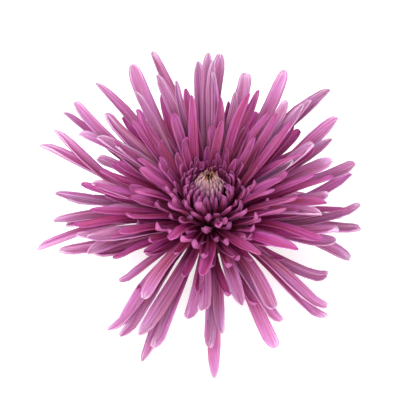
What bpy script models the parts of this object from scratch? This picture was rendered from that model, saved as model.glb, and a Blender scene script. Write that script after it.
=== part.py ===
"""Spider chrysanthemum: one cut bloom, lying face up on its lowest florets and its short cut stem.

Metres, +Z up, the open face of the bloom upwards. The hub, from which all the florets radiate, is the
working origin; at the end the whole bloom is set down on the surface and centred over the origin.
"""

import math
import random

import bmesh
import bpy
from mathutils import Vector

MM = 0.001

# Overall sizes
HUB_HEIGHT = 23.5 * MM
RECEPTACLE_RADIUS = 8.2 * MM
RECEPTACLE_DOME = 9.0 * MM
RECEPTACLE_BASE = -2.7 * MM
GAP = 0.3 * MM
ROUND_SIDES = 24

# The strap of a full-grown floret, and the small quills round the bud
STRAP_WIDTH = 4.8 * MM
QUILL_WIDTH = 2.5 * MM
BLADE_THICKNESS = 1.0 * MM
CHANNEL_SHARE = 0.20
STRAP_STATIONS = ((0.0, 0.42), (0.42, 0.76), (0.84, 1.00), (1.0, 0.34))
MIDDLE_STATIONS = ((0.0, 0.70), (0.50, 0.95), (0.88, 0.90), (1.0, 0.40))
QUILL_STATIONS = ((0.0, 0.75), (0.60, 1.00), (1.0, 0.50))
ROLL_SPREAD = math.radians(24)
SWEEP_SPREAD = 0.055
SEED = 42000

# Florets that show singly in the photograph, as seen from the front, VIEW_RISE above the horizon.
# Each is its tip's place in mm to the right of the hub and mm up the picture, the rise of its chord
# in degrees, and its arch in per cent of its length: above 0 the tip droops, below 0 it curls up.
VIEW_RISE = math.radians(50)
SEEN_FLORETS = (
    (-4, 59, 38, 4), (1, 62, 42, 4), (5, 62, 30, 4), (3, 59, 45, 3),
    (12, 55, 36, 4), (14, 55, 28, 4), (27, 56, 34, 4), (19, 48, 48, 3),
    (16, 47, 52, 2), (30, 44, 42, 3), (26, 39, 49, 3), (34, 43, 38, 4),
    (38, 44, 28, 5), (45, 48, 22, 5), (48, 38, 18, -4), (46, 31, 16, -5),
    (39, 27, 34, 3), (45, 23, 20, -3), (55, 21, 8, -6), (53, 18, 2, -6),
    (57, 5, -2, -7), (56, -4, -14, 2), (47, -3, 8, -6), (47, -7, -6, -7),
    (44, 8, 20, 4), (40, 3, 24, 5), (31, -10, 12, 6), (28, -15, -8, 6),
    (44, -22, -18, -5), (41, -32, -24, 8), (40, -37, -26, 6), (24, -45, -26, 8),
    (24, -37, -20, 8), (23, -32, -14, 9), (13, -30, 0, 9), (16, -32, -12, 8),
    (1, -56, -26, 8), (-1, -45, -22, 9), (4, -40, -18, 9), (-7, -35, -12, 10),
    (-2, -33, 0, 10), (-18, -46, -24, 6), (-24, -50, -26, 6), (-24, -41, -20, 9),
    (-30, -42, -26, 10), (-33, -41, -26, 10), (-23, -28, -4, 10), (-27, -25, -14, 8),
    (-31, -23, -20, 10), (-43, -14, -18, -4), (-55, -11, -8, -4), (-63, -10, -14, 4),
    (-44, -11, 2, 4), (-44, -7, 8, 6), (-48, -6, 4, 6), (-57, -1, -4, 4),
    (-38, 4, 20, 3), (-52, 7, 4, 4), (-56, 11, 6, 4), (-42, 14, 26, 4),
    (-62, 28, 16, -9), (-57, 33, 20, -8), (-54, 39, 26, -4), (-50, 43, 30, 2),
    (-42, 50, 32, 4), (-39, 39, 38, 4), (-28, 58, 34, 3), (-21, 63, 30, 4),
    (-27, 47, 44, 3), (-27, 41, 49, 2), (-19, 54, 42, 3), (-12, 52, 46, 3),
    (-8, 49, 49, 3), (-7, 46, 54, 3), (-28, 37, 48, 3), (-47, 32, 30, 4),
    (-41, 30, 36, 4), (-34, 27, 42, 4), (-26, 23, 49, 5), (17, 31, 56, 3),
    (22, 25, 48, 4), (29, 34, 44, 4), (31, 22, 36, 5), (30, 20, 32, 5),
    (14, 14, 55, 4), (17, 11, 49, 4), (24, 7, 36, 6), (19, 2, 40, 6),
    (13, 4, 47, 6), (17, -3, 34, 8), (14, -6, 34, 8), (12, -14, 20, 10),
    (7, -17, 18, 10), (7, -8, 34, 8), (7, -28, 2, 10), (-2, -13, 30, 10),
    (-6, -9, 34, 8), (-5, -26, 6, 10), (-23, -7, 22, 8), (-24, -12, 8, 9),
    (-21, -2, 32, 7), (-28, -1, 20, 7), (-21, 7, 42, 4), (-12, -6, 38, 8),
    (-13, 7, 52, 5), (-14, 12, 56, 4), (3, 46, 49, 3), (10, 48, 46, 3),
    (0, 55, 46, 3), (4, 38, 56, 3),
)

# Florets that the photograph hides: the lowest ring, behind and under the others
LOW_RING_COUNT = 15
LOW_RING_FROM = math.radians(2)
LOW_RING_TO = math.radians(178)
LOW_RING_REACH = (52 * MM, 59 * MM)
LOW_RING_RISE = (math.radians(-26), math.radians(-7))

# The inner and middle florets stand in a sunflower spiral, steep and short by the bud and longer further out
SPIRAL_STEP = math.radians(137.508)
INNER_COUNT = 46
INNER_REACH = (26 * MM, 31 * MM)
INNER_RISE = (math.radians(71), math.radians(47))
MIDDLE_COUNT = 28
MIDDLE_REACH = (33 * MM, 47 * MM)
MIDDLE_RISE = (math.radians(60), math.radians(20))
QUILL_RING_RADIUS = 5.4 * MM
ROOT_DEPTH = 0.80

# The bud of young florets in the middle
BUD_FOOT = RECEPTACLE_DOME + GAP
BUD_TOP = 28.0 * MM
BUD_PROFILE = ((1.6, 0.0), (3.3, 0.2), (4.3, 0.45), (4.4, 0.62), (3.6, 0.80), (2.1, 0.93), (0.9, 0.985))
BUD_ROWS = ((11, 0.44, 0.84), (10, 0.56, 0.97), (7, 0.68, 1.05))
BUD_FLORET_WIDTH = 2.1 * MM
BUD_FLORET_PROUD = 0.35 * MM
BUD_WELL = 5.5 * MM

# The green cup of bracts, and the stem
CUP_TOP = RECEPTACLE_BASE - GAP
CUP_HEIGHT = 5.6 * MM
CUP_PROFILE = ((0.0, 0.0), (8.4, 0.0), (8.9, 0.22), (7.6, 0.58), (4.9, 0.88), (3.2, 1.0), (0.0, 1.0))
BRACT_ROWS = ((13, 9.0, -4.1, 11.6, -4.0), (13, 7.7, -5.6, 10.4, -5.5), (10, 5.6, -7.0, 8.4, -7.0))
BRACT_WIDTH = 2.9 * MM
BRACT_STATIONS = ((0.0, 1.0), (0.45, 1.0), (0.80, 0.70), (1.0, 0.20))
STEM_RADIUS = 2.3 * MM
STEM_FLARE_RADIUS = 3.1 * MM
STEM_FLARE_HEIGHT = 3.0 * MM
STEM_RIBS = 8
STEM_RIB_HEIGHT = 0.14 * MM


def clear_scene():
    for thing in list(bpy.data.objects):
        bpy.data.objects.remove(thing)


def painted(name, colour, roughness):
    """A plain material of the part's colour."""
    material = bpy.data.materials.new(name)
    material.use_nodes = True
    shader = material.node_tree.nodes["Principled BSDF"]
    shader.inputs["Base Color"].default_value = (*colour, 1.0)
    shader.inputs["Roughness"].default_value = roughness
    material.diffuse_color = (*colour, 1.0)
    return material


# The spine of a floret is a parabola from its root on the receptacle to its tip
def dome_point(azimuth, rise):
    """Where a floret of that rise is rooted: inside the receptacle, and clear of the bud's foot."""
    lean = max(0.0, rise)
    out = max(0.80 * RECEPTACLE_RADIUS * math.cos(lean), QUILL_RING_RADIUS)
    dome = RECEPTACLE_DOME * math.sqrt(1 - (out / RECEPTACLE_RADIUS) ** 2)
    return Vector((out * math.cos(azimuth), out * math.sin(azimuth), ROOT_DEPTH * dome * math.sin(lean)))


def spine_of(azimuth, reach, rise, arch, number):
    """Root, middle handle and tip of a floret that reaches that far from the hub."""
    chance = random.Random(SEED + number)
    root = dome_point(azimuth, rise)
    flat = reach * math.cos(rise)
    tip = Vector((flat * math.cos(azimuth), flat * math.sin(azimuth), reach * math.sin(rise)))
    chord = tip - root
    side = Vector((-math.sin(azimuth), math.cos(azimuth), 0.0))
    lift = chord.cross(side)
    sweep = chance.uniform(-SWEEP_SPREAD, SWEEP_SPREAD)
    handle = (root + tip) / 2 + 2 * arch * lift + 2 * sweep * chord.length * side
    return root, handle, tip, side, chance.uniform(-ROLL_SPREAD, ROLL_SPREAD)


def seen_floret(right, up, rise):
    """Azimuth and reach of the floret whose tip shows at that place in the picture."""
    right, up, rise = right * MM, up * MM, math.radians(rise)
    across, along = math.sin(VIEW_RISE), math.cos(VIEW_RISE)
    flat, high = math.cos(rise), math.sin(rise)
    a = flat**2 - (high * along / across) ** 2
    b = 2 * up * high * along / across**2
    c = -(right**2 + (up / across) ** 2)
    reach = (-b + math.sqrt(b * b - 4 * a * c)) / (2 * a)
    return math.atan2((up - reach * high * along) / across, right), reach


def between(ends, share):
    return ends[0] + (ends[1] - ends[0]) * share


def ray_florets():
    """Every purple floret of the head, as (spine, width, stations)."""
    florets = []
    for right, up, rise, arch in SEEN_FLORETS:
        azimuth, reach = seen_floret(right, up, rise)
        spine = spine_of(azimuth, reach, math.radians(rise), arch / 100, len(florets))
        growth = min(1.0, max(0.0, (reach / MM - 20) / 30))
        stations = STRAP_STATIONS if growth > 0.4 else MIDDLE_STATIONS
        florets.append((spine, between((0.72 * STRAP_WIDTH, STRAP_WIDTH), growth), stations))
    for place in range(LOW_RING_COUNT):
        share = place / (LOW_RING_COUNT - 1)
        chance = random.Random(place)
        rise = between(LOW_RING_RISE, (place % 3) / 2)
        reach = between(LOW_RING_REACH, chance.random())
        azimuth = between((LOW_RING_FROM, LOW_RING_TO), share)
        spine = spine_of(azimuth, reach, rise, 0.07, len(florets))
        florets.append((spine, STRAP_WIDTH, STRAP_STATIONS))
    for place in range(INNER_COUNT):
        share = place / (INNER_COUNT - 1)
        chance = random.Random(100 + place)
        reach = between(INNER_REACH, share) * chance.uniform(0.90, 1.10)
        rise = between(INNER_RISE, share) + math.radians(chance.uniform(-4, 4))
        spine = spine_of(place * SPIRAL_STEP, reach, rise, between((-0.03, 0.04), share), len(florets))
        width = between((QUILL_WIDTH, 0.70 * STRAP_WIDTH), share)
        florets.append((spine, width, QUILL_STATIONS))
    for place in range(MIDDLE_COUNT):
        share = place / (MIDDLE_COUNT - 1)
        chance = random.Random(200 + place)
        reach = between(MIDDLE_REACH, share) * chance.uniform(0.90, 1.10)
        rise = between(MIDDLE_RISE, share) + math.radians(chance.uniform(-6, 6))
        azimuth = (INNER_COUNT + place) * SPIRAL_STEP
        spine = spine_of(azimuth, reach, rise, between((0.02, 0.07), share), len(florets))
        florets.append((spine, 0.80 * STRAP_WIDTH, MIDDLE_STATIONS))
    return florets


def blade_bar(name, stations):
    """A four-sided bar, cut into one ring for each station. Its vertices are still to be shaped."""
    bm = bmesh.new()
    bmesh.ops.create_cone(bm, cap_ends=True, segments=4, radius1=1, radius2=1, depth=1)
    long_edges = [e for e in bm.edges if abs(e.verts[0].co.z - e.verts[1].co.z) > 0.5]
    bmesh.ops.subdivide_edges(bm, edges=long_edges, cuts=len(stations) - 2)
    mesh = bpy.data.meshes.new(name)
    bm.to_mesh(mesh)
    bm.free()
    return mesh


def blade(name, spine, width, stations, thickness=BLADE_THICKNESS, lowest=-HUB_HEIGHT):
    """One floret or bract: a channelled strap along its spine, lying on the surface where it reaches it."""
    root, handle, tip, side, roll = spine
    mesh = blade_bar(name, stations)
    for vertex in mesh.vertices:
        station = round((vertex.co.z + 0.5) * (len(stations) - 1))
        along, share = stations[station]
        half = width * share / 2
        centre = root * (1 - along) ** 2 + handle * 2 * along * (1 - along) + tip * along**2
        tangent = ((handle - root) * (1 - along) + (tip - handle) * along).normalized()
        normal = tangent.cross(side).normalized()
        across = normal.cross(tangent)
        turn = roll * along
        across, normal = (
            across * math.cos(turn) + normal * math.sin(turn),
            normal * math.cos(turn) - across * math.sin(turn),
        )
        taper = thickness * (0.55 + 0.45 * share) / 2
        centre.z = max(centre.z, lowest + taper)
        if abs(vertex.co.x) > abs(vertex.co.y):
            offset = across * math.copysign(half, vertex.co.x) + normal * CHANNEL_SHARE * 2 * half
        else:
            offset = normal * math.copysign(taper, vertex.co.y)
        vertex.co = centre + offset
        vertex.co.z = max(vertex.co.z, lowest)
    face_outwards(mesh)
    return bpy.data.objects.new(name, mesh)


def face_outwards(mesh):
    """Turns every face of a closed mesh to face out."""
    bm = bmesh.new()
    bm.from_mesh(mesh)
    bmesh.ops.recalc_face_normals(bm, faces=bm.faces)
    bm.to_mesh(mesh)
    bm.free()


def turned(name, profile, sides, parts):
    """A closed turned solid from (radius, height) points given from the top down, on the axis at both ends."""
    bm = bmesh.new()
    points = [bm.verts.new((radius, 0.0, height)) for radius, height in profile]
    for first, second in zip(points, points[1:]):
        bm.edges.new((first, second))
    mesh = bpy.data.meshes.new(name)
    bm.to_mesh(mesh)
    bm.free()
    made = bpy.data.objects.new(name, mesh)
    screw = made.modifiers.new("Turn", "SCREW")
    screw.steps = screw.render_steps = sides
    screw.use_merge_vertices = True
    screw.merge_threshold = 0.01 * MM
    parts.objects.link(made)
    applied(made)
    face_outwards(made.data)
    return made


def applied(thing):
    """Replaces an object's mesh by what its modifiers make of it."""
    bpy.context.view_layer.update()
    graph = bpy.context.evaluated_depsgraph_get()
    mesh = bpy.data.meshes.new_from_object(thing.evaluated_get(graph))
    thing.modifiers.clear()
    thing.data = mesh
    bm = bmesh.new()
    bm.from_mesh(mesh)
    bmesh.ops.triangulate(bm, faces=bm.faces)
    bm.to_mesh(mesh)
    bm.free()


def fill_pockets(thing):
    """Drops the closed shells that face inwards: pockets left between blades that overlap."""
    bm = bmesh.new()
    bm.from_mesh(thing.data)
    waiting = set(bm.faces)
    while waiting:
        shell, edge_faces = set(), [waiting.pop()]
        while edge_faces:
            face = edge_faces.pop()
            shell.add(face)
            for edge in face.edges:
                for other in edge.link_faces:
                    if other in waiting:
                        waiting.discard(other)
                        edge_faces.append(other)
        volume = sum(face.calc_center_median().dot(face.normal) * face.calc_area() for face in shell)
        if volume < 0:
            bmesh.ops.delete(bm, geom=list({v for face in shell for v in face.verts}), context="VERTS")
    bm.to_mesh(thing.data)
    bm.free()


def fuse(body, blades):
    """Joins the blades to the body they grow from, in one solid."""
    group = bpy.data.collections.new(body.name + "_blades")
    bpy.context.scene.collection.children.link(group)
    for piece in blades:
        group.objects.link(piece)
    union = body.modifiers.new("Grow together", "BOOLEAN")
    union.operation = "UNION"
    union.operand_type = "COLLECTION"
    union.collection = group
    union.solver = "MANIFOLD"
    applied(body)
    for piece in blades:
        bpy.data.objects.remove(piece)
    bpy.data.collections.remove(group)
    fill_pockets(body)


def carve(body, cutter):
    """Cuts the cutter's shape out of the body."""
    cut = body.modifiers.new("Leave room", "BOOLEAN")
    cut.operation = "DIFFERENCE"
    cut.object = cutter
    cut.solver = "MANIFOLD"
    applied(body)
    bpy.data.objects.remove(cutter)


def make_ray_florets(parts):
    """The receptacle's dome with all purple florets, and a well for the bud."""
    profile = [(0.0, RECEPTACLE_DOME)]
    for step in range(1, 6):
        lean = math.pi / 2 * (1 - step / 5)
        profile.append((RECEPTACLE_RADIUS * math.cos(lean), RECEPTACLE_DOME * math.sin(lean)))
    profile += [(RECEPTACLE_RADIUS, RECEPTACLE_BASE), (0.0, RECEPTACLE_BASE)]
    head = turned("ray_florets", profile, ROUND_SIDES, parts)
    blades = [
        blade(f"floret_{number}", spine, width, stations)
        for number, (spine, width, stations) in enumerate(ray_florets())
    ]
    fuse(head, blades)
    well_foot = RECEPTACLE_DOME
    well = turned(
        "bud_well",
        ((0.0, 2 * BUD_TOP), (BUD_WELL, 2 * BUD_TOP), (BUD_WELL, 1.45 * well_foot), (2.6 * MM, well_foot),
         (0.0, well_foot)),
        ROUND_SIDES,
        parts,
    )
    carve(head, well)
    head.data.materials.append(painted("purple_petal", (0.36, 0.07, 0.27), 0.55))


def bud_radius(share):
    """The bud's radius at a share of its height."""
    for (r0, h0), (r1, h1) in zip(BUD_PROFILE, BUD_PROFILE[1:]):
        if share <= h1:
            return between((r0, r1), (share - h0) / (h1 - h0)) * MM
    return BUD_PROFILE[-1][0] * MM


def make_centre_bud(parts):
    """Young florets, closed over each other in rows on a slim core."""
    height = BUD_TOP - BUD_FOOT
    profile = [(0.0, BUD_TOP - 0.4 * MM)]
    profile += [(radius * MM, BUD_FOOT + share * height) for radius, share in reversed(BUD_PROFILE)]
    profile += [(0.0, BUD_FOOT)]
    bud = turned("centre_bud", profile, 16, parts)
    florets = []
    chance = random.Random(SEED)
    for row, (count, low, high) in enumerate(BUD_ROWS):
        for place in range(count):
            azimuth = math.tau * (place + 0.5 * (row % 2) + chance.uniform(-0.12, 0.12)) / count
            outward = Vector((math.cos(azimuth), math.sin(azimuth), 0.0))
            side = Vector((-outward.y, outward.x, 0.0))
            middle = (low + min(high, 1.0)) / 2
            proud = BUD_FLORET_PROUD
            root = outward * (bud_radius(low) - proud) + Vector((0, 0, BUD_FOOT + low * height))
            tip = outward * (bud_radius(min(high, 0.97)) + 0.3 * proud) + Vector((0, 0, BUD_FOOT + high * height))
            belly = outward * (bud_radius(middle) + 1.6 * proud) + Vector((0, 0, BUD_FOOT + middle * height))
            spine = (root, 2 * belly - (root + tip) / 2, tip, side, 0.0)
            florets.append(blade(f"young_{row}_{place}", spine, BUD_FLORET_WIDTH, BRACT_STATIONS, 0.9 * MM))
    fuse(bud, florets)
    bud.data.materials.append(painted("young_floret", (0.50, 0.36, 0.30), 0.6))


def make_involucre(parts):
    """The green cup under the head, with its overlapping bracts."""
    profile = [(radius * MM, CUP_TOP - share * CUP_HEIGHT) for radius, share in CUP_PROFILE]
    cup = turned("involucre", profile, ROUND_SIDES, parts)
    bracts = []
    chance = random.Random(SEED)
    for row, (count, root_out, root_z, tip_out, tip_z) in enumerate(BRACT_ROWS):
        for place in range(count):
            azimuth = math.tau * (place + 0.5 * (row % 2) + chance.uniform(-0.10, 0.10)) / count
            outward = Vector((math.cos(azimuth), math.sin(azimuth), 0.0))
            root = outward * (root_out - 2.2) * MM + Vector((0, 0, root_z * MM))
            tip = outward * tip_out * MM + Vector((0, 0, tip_z * MM))
            handle = (root + tip) / 2 - Vector((0, 0, 1.0 * MM))
            side = Vector((-outward.y, outward.x, 0.0))
            spine = (root, handle, tip, side, 0.0)
            bracts.append(blade(f"bract_{row}_{place}", spine, BRACT_WIDTH, BRACT_STATIONS, 0.9 * MM))
    fuse(cup, bracts)
    cup.data.materials.append(painted("bract_green", (0.16, 0.24, 0.07), 0.6))


def make_stem(parts):
    """The short cut stem: ribbed, flared under the cup, with a flat cut end on the surface."""
    top = CUP_TOP - CUP_HEIGHT - GAP
    profile = (
        (0.0, top), (STEM_FLARE_RADIUS, top), (STEM_FLARE_RADIUS * 0.9, top - 0.35 * STEM_FLARE_HEIGHT),
        (STEM_RADIUS, top - STEM_FLARE_HEIGHT), (STEM_RADIUS, -HUB_HEIGHT), (0.0, -HUB_HEIGHT),
    )
    stem = turned("stem", profile, 4 * STEM_RIBS, parts)
    for vertex in stem.data.vertices:
        radius = math.hypot(vertex.co.x, vertex.co.y)
        if radius > STEM_RADIUS / 2:
            rib = math.cos(STEM_RIBS * math.atan2(vertex.co.y, vertex.co.x))
            grown = 1 + STEM_RIB_HEIGHT * rib / radius
            vertex.co.x *= grown
            vertex.co.y *= grown
    stem.data.materials.append(painted("stem_green", (0.22, 0.33, 0.10), 0.55))


def set_down(parts):
    """Stands the bloom on the surface, with the middle of its outline over the origin."""
    corners = [vertex.co for thing in parts.objects for vertex in thing.data.vertices]
    low = [min(corner[axis] for corner in corners) for axis in range(3)]
    high = [max(corner[axis] for corner in corners) for axis in range(3)]
    shift = Vector((-(low[0] + high[0]) / 2, -(low[1] + high[1]) / 2, HUB_HEIGHT))
    for thing in parts.objects:
        for vertex in thing.data.vertices:
            vertex.co += shift
        thing.data.update()


def main():
    clear_scene()
    parts = bpy.data.collections.new("spider_chrysanthemum")
    bpy.context.scene.collection.children.link(parts)
    make_ray_florets(parts)
    make_centre_bud(parts)
    make_involucre(parts)
    make_stem(parts)
    set_down(parts)


main()
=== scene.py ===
import math
import random

import bmesh
import bpy
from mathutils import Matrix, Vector


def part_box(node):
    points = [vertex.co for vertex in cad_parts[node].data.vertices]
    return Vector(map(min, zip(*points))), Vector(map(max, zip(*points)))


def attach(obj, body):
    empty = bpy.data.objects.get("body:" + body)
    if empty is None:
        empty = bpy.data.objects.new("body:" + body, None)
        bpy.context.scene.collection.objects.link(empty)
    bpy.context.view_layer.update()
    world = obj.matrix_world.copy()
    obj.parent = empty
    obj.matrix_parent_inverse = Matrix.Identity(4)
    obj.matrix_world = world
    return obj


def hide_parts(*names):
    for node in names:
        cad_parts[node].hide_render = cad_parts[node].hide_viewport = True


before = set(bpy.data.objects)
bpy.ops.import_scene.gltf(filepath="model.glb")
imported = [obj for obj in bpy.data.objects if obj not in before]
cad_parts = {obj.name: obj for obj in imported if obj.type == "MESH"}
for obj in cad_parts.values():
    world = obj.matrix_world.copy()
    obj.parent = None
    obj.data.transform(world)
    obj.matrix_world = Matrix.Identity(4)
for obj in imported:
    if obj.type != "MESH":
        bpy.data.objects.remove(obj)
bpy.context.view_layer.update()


# Long ray florets. Each is one strap-shaped petal, rolled into a gutter at its root and opening
# towards a blunt, slightly hooked tip. They grow from the receptacle in open layers, no two
# alike, and are purple on the upper face and silvery pink under it.
MM = 0.001
STEM_TOP_BELOW_HUB = 8.9 * MM
stem_low, stem_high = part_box("stem")
hub = Vector((
    (stem_low[0] + stem_high[0]) / 2,
    (stem_low[1] + stem_high[1]) / 2,
    stem_high[2] + STEM_TOP_BELOW_HUB,
))
floor_height = stem_low[2]
hub_above_floor = hub.z - floor_height

STRAP_LENGTH = 52 * MM
STRAP_WIDTH = 5.3 * MM
PETAL_THICKNESS = 0.34 * MM
PETAL_STRIPS = 4
GUTTER_ROUNDNESS = 1.7
# A notch in the tip: its depth, where it starts along the petal, and how steep its sides are
NOTCH_DEPTH = 2.2 * MM
NOTCH_FROM = 0.9
NOTCH_SPAN = 0.1
NOTCH_SLOPE = 1.5
# Rows that have their shape wait this high above the grid, so that they aren't picked again
GRID_LIFT = 1.0
GRID_SLACK = 0.01
# Share of the length, share of the width, and height of the edges as a share of half the width
BLUNT_ROWS = (
    (0.00, 0.48, 1.10), (0.14, 0.58, 1.05), (0.30, 0.73, 0.86), (0.46, 0.87, 0.69),
    (0.62, 0.97, 0.58), (0.78, 1.00, 0.52), (0.89, 0.94, 0.58), (0.95, 0.78, 0.72),
    (0.985, 0.52, 0.90), (1.00, 0.20, 1.00),
)
PINCHED_ROWS = (
    (0.00, 0.44, 1.10), (0.14, 0.56, 1.05), (0.30, 0.75, 0.86), (0.46, 0.91, 0.74),
    (0.62, 1.00, 0.66), (0.76, 0.96, 0.71), (0.87, 0.82, 0.86), (0.94, 0.62, 1.12),
    (0.98, 0.38, 1.32), (1.00, 0.16, 1.35),
)


def pick(shape, wanted):
    """Selects, in edit mode, the vertices whose place is wanted."""
    cage = bmesh.from_edit_mesh(shape.data)
    for vertex in cage.verts:
        vertex.select_set(wanted(vertex.co))
    cage.select_flush_mode()
    bmesh.update_edit_mesh(shape.data)


def petal_pattern(name, length, width, rows, notch=0.0):
    """A flat grid drawn out row by row into a gutter with a shaped tip, then given its wall."""
    bpy.ops.object.select_all(action="DESELECT")
    bpy.ops.mesh.primitive_grid_add(
        x_subdivisions=PETAL_STRIPS, y_subdivisions=len(rows) - 1, size=2
    )
    shape = bpy.context.object
    shape.name = name
    bpy.ops.object.mode_set(mode="EDIT")
    for number, (along, share, edge) in enumerate(rows):
        line = -1 + 2 * number / (len(rows) - 1)
        half = width * share / 2
        for strip in range(PETAL_STRIPS + 1):
            place = -1 + 2 * strip / PETAL_STRIPS
            corner = Vector((place, line, 0))
            pick(shape, lambda co: (co - corner).length < GRID_SLACK)
            rise = edge * half * abs(place) ** GUTTER_ROUNDNESS
            back = notch * max(0.0, 1 - abs(place) * NOTCH_SLOPE)
            back *= max(0.0, (along - NOTCH_FROM) / NOTCH_SPAN)
            spot = Vector((place * half, along * length - back, rise + GRID_LIFT))
            bpy.ops.transform.translate(value=spot - corner)
    bpy.ops.mesh.select_all(action="SELECT")
    bpy.ops.transform.translate(value=(0, 0, -GRID_LIFT))
    bpy.ops.mesh.normals_make_consistent(inside=False)
    bpy.ops.object.mode_set(mode="OBJECT")
    wall = shape.modifiers.new("Petal wall", "SOLIDIFY")
    wall.thickness = PETAL_THICKNESS
    wall.offset = -1
    wall.material_offset = 1
    wall.material_offset_rim = 0
    bpy.ops.object.modifier_apply(modifier=wall.name)
    bpy.ops.object.shade_smooth()
    shape.hide_render = True
    return shape


blunt_pattern = petal_pattern("blunt_pattern", STRAP_LENGTH, STRAP_WIDTH, BLUNT_ROWS)
pinched_pattern = petal_pattern("pinched_pattern", STRAP_LENGTH, STRAP_WIDTH, PINCHED_ROWS)
notched_pattern = petal_pattern(
    "notched_pattern", STRAP_LENGTH, STRAP_WIDTH, BLUNT_ROWS, NOTCH_DEPTH
)
strap_patterns = (
    pinched_pattern, blunt_pattern, pinched_pattern, notched_pattern, blunt_pattern
)

SEED = 42000
RECEPTACLE_RADIUS = 8.2 * MM
RECEPTACLE_DOME = 9.0 * MM
ROOT_RING_RADIUS = 0.80 * RECEPTACLE_RADIUS
QUILL_RING_RADIUS = 5.4 * MM
ROOT_DEPTH = 0.80
ROLL_SPREAD = math.radians(24)
SWEEP_SPREAD = 0.055


def root_of(azimuth, rise):
    """Where a floret of that rise is rooted in the receptacle's dome."""
    lean = max(0.0, rise)
    out = max(ROOT_RING_RADIUS * math.cos(lean), QUILL_RING_RADIUS)
    dome = RECEPTACLE_DOME * math.sqrt(1 - (out / RECEPTACLE_RADIUS) ** 2)
    height = ROOT_DEPTH * dome * math.sin(lean)
    return Vector((out * math.cos(azimuth), out * math.sin(azimuth), height))


def spine_of(azimuth, reach, rise, arch, number):
    """The parabola that a floret follows: root, middle handle, tip, level side, and its roll."""
    chance = random.Random(SEED + number)
    root = root_of(azimuth, rise)
    flat = reach * math.cos(rise)
    tip = Vector((flat * math.cos(azimuth), flat * math.sin(azimuth), reach * math.sin(rise)))
    chord = tip - root
    side = Vector((-math.sin(azimuth), math.cos(azimuth), 0.0))
    lift = chord.cross(side)
    sweep = chance.uniform(-SWEEP_SPREAD, SWEEP_SPREAD)
    # A handle lies twice as far off the chord as the curve itself does
    handle = (root + tip) / 2 + 2 * arch * lift + 2 * sweep * chord.length * side
    return root, handle, tip, side, chance.uniform(-ROLL_SPREAD, ROLL_SPREAD)


# The waves of a petal's edges: mm high, and radians along the petal and across it
WAVE_HEIGHT = (0.20, 0.85)
WAVE_ALONG = 11
WAVE_ACROSS = 1.6
# A slow sway to the sides, as a share of the petal's length, and radians along it
SWAY_SPREAD = 0.018
SWAY_ALONG = math.pi * 1.6
# The hook: where it starts along the petal, and how much of its height it is drawn back
HOOK_FROM = 0.85
HOOK_SPAN = 0.15
HOOK_DRAW_BACK = 0.35


def grown(pattern, length, width, spine, size, chance, hook, gutter=1.0):
    """A copy of a flat petal, bent along its spine and given its own hook, wave and tone."""
    root, handle, tip, side, roll = spine
    mesh = pattern.data.copy()
    scale = size / width
    wave, phase = chance.uniform(*WAVE_HEIGHT) * MM, chance.uniform(0, math.tau)
    sway = chance.uniform(-SWAY_SPREAD, SWAY_SPREAD) * (tip - root).length
    for vertex in mesh.vertices:
        along = min(1.0, max(0.0, vertex.co.y / length))
        centre = root * (1 - along) ** 2 + handle * 2 * along * (1 - along) + tip * along**2
        tangent = ((handle - root) * (1 - along) + (tip - handle) * along).normalized()
        normal = tangent.cross(side).normalized()
        across = normal.cross(tangent)
        turn = roll * along
        across, normal = (
            across * math.cos(turn) + normal * math.sin(turn),
            normal * math.cos(turn) - across * math.sin(turn),
        )
        curl = max(0.0, (along - HOOK_FROM) / HOOK_SPAN)
        bend = hook * curl**2 * size
        edge = vertex.co.x / (width / 2)
        swell = math.sin(WAVE_ALONG * along + phase + WAVE_ACROSS * edge)
        ripple = wave * along * swell * abs(edge)
        height = vertex.co.z * scale * gutter + bend + ripple
        centre += side * sway * math.sin(SWAY_ALONG * along)
        vertex.co = (
            centre + across * vertex.co.x * scale + normal * height
            - tangent * abs(bend) * HOOK_DRAW_BACK
        )
        vertex.co.z = max(vertex.co.z, -hub_above_floor)
        vertex.co += hub
    tone = mesh.attributes.new("tone", "FLOAT", "POINT")
    shade = chance.random()
    for item in tone.data:
        item.value = shade
    petal = bpy.data.objects.new("petal", mesh)
    bpy.context.scene.collection.objects.link(petal)
    return petal


def gathered(name, petals, *finishes):
    """Joins a group of petals into one piece and gives it its materials."""
    bpy.ops.object.select_all(action="DESELECT")
    for petal in petals:
        petal.select_set(True)
    bpy.context.view_layer.objects.active = petals[0]
    bpy.ops.object.join()
    piece = bpy.context.object
    piece.name = piece.data.name = name
    piece.data.materials.clear()
    for finish in finishes:
        piece.data.materials.append(finish)
    return piece


VIEW_RISE = math.radians(50)
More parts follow.
